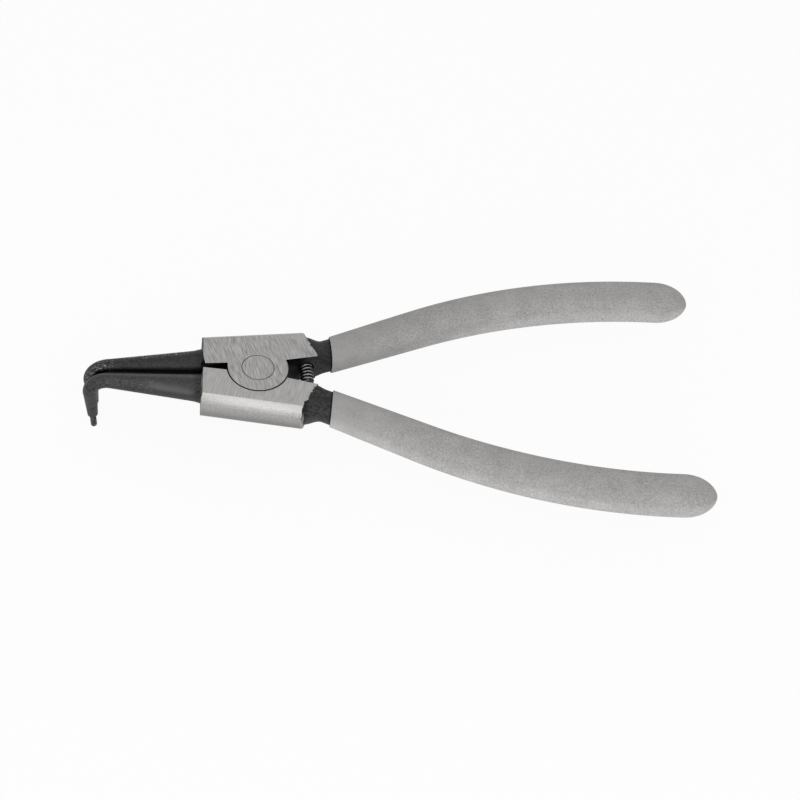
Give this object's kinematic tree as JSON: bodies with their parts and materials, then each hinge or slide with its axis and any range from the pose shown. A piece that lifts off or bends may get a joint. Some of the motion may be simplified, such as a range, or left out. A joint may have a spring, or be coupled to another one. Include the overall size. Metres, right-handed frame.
{
  "type": "circlip pliers",
  "caption": "Circlip pliers for outside rings, with tapered jaws bent square at the tips, a riveted lap joint, a return spring and dipped grips.",
  "frame": {"origin": "on the pivot axis, at the ground front face of the joint", "axes": "+X from the pivot towards the handles, +Y towards the upper lever, +Z out of the ground front face, so the bent tips point along -Z"},
  "size_m": [0.1679, 0.0814, 0.024],
  "materials": {
    "forged_steel": "black oxide on the forging, ground bright on the faces and sides of the joint",
    "bright_steel": "ground bright",
    "spring_wire": "drawn spring wire",
    "dipped_grip": "dipped vinyl, satin with a fine grain"
  },
  "bodies": {
    "lower_half": {"lower_lever": "forged_steel", "lower_grip": "dipped_grip", "lower_tip_pin": "bright_steel", "pivot_rivet": "bright_steel", "return_spring": "spring_wire"},
    "upper_half": {"upper_lever": "forged_steel", "upper_grip": "dipped_grip", "upper_tip_pin": "bright_steel"}
  },
  "joints": [
    {"name": "handle_squeeze", "type": "hinge", "parent": "lower_half", "child": "upper_half", "pos_m": [0, 0, -0.0045], "axis": [0, 0, -1], "range_deg": [0, 20], "stiffness_Nm_per_rad": 1.1, "springref_deg": -6.88, "deforming": ["return_spring"]}
  ]
}
